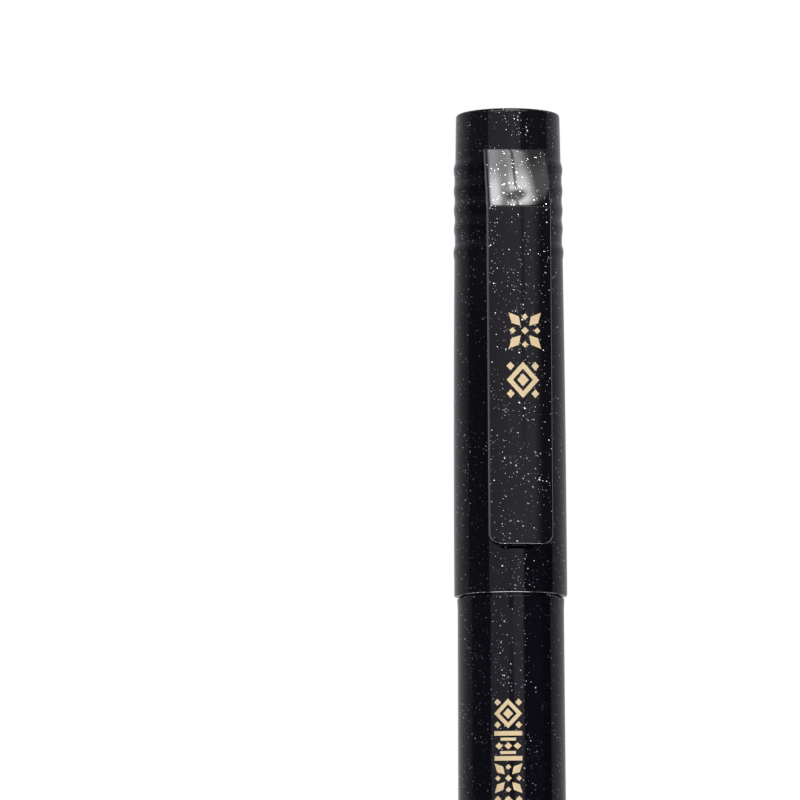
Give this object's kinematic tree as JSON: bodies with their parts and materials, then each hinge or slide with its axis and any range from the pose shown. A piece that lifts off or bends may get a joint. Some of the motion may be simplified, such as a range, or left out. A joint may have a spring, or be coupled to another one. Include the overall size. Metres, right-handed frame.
{
  "type": "calligraphy marker",
  "caption": "Slim capped brush marker with a bristle point, felt ink store, ribbed round cap with sealing inner cap and a flat spring clip.",
  "frame": {"origin": "centre of the flat end face of the tail, which the pen stands on", "axes": "+Z along the pen from tail to cap top, -Y towards the clip, +X to the right when the clip faces the viewer"},
  "size_m": [0.0122, 0.0149, 0.138],
  "materials": {
    "glitter_plastic": "near-black gloss plastic with sparse fine silver flakes",
    "clip_plastic": "near-black gloss plastic with sparse fine silver flakes",
    "collar_plastic": "near-black gloss plastic with sparse fine silver flakes",
    "bristle": "black nylon bristles, matt in bulk",
    "inner_plastic": "natural white moulded plastic",
    "inked_felt": "ink-soaked bonded fibre",
    "film": "thin translucent film wrap",
    "gold_foil": null
  },
  "bodies": {
    "pen": {"barrel": "glitter_plastic", "tail_plug": "glitter_plastic", "front_section": "glitter_plastic", "brush_collar": "collar_plastic", "brush_root": "bristle", "brush_bristles": "bristle", "feed_holder": "inner_plastic", "feed_wick": "inked_felt", "ink_reservoir": "inked_felt", "reservoir_film": "film"},
    "cap": {"cap_shell": "glitter_plastic", "inner_cap": "inner_plastic"},
    "clip": {"clip": "clip_plastic"}
  },
  "joints": [
    {"name": "cap_pull", "type": "slide", "parent": "pen", "child": "cap", "axis": [0, 0, 1], "range_m": [0, 0.06]},
    {"name": "clip_flex", "type": "hinge", "parent": "cap", "child": "clip", "pos_m": [0, -0.0057, 0.1327], "axis": [-1, 0, 0], "range_deg": [0, 5], "stiffness_Nm_per_rad": 0.3}
  ]
}
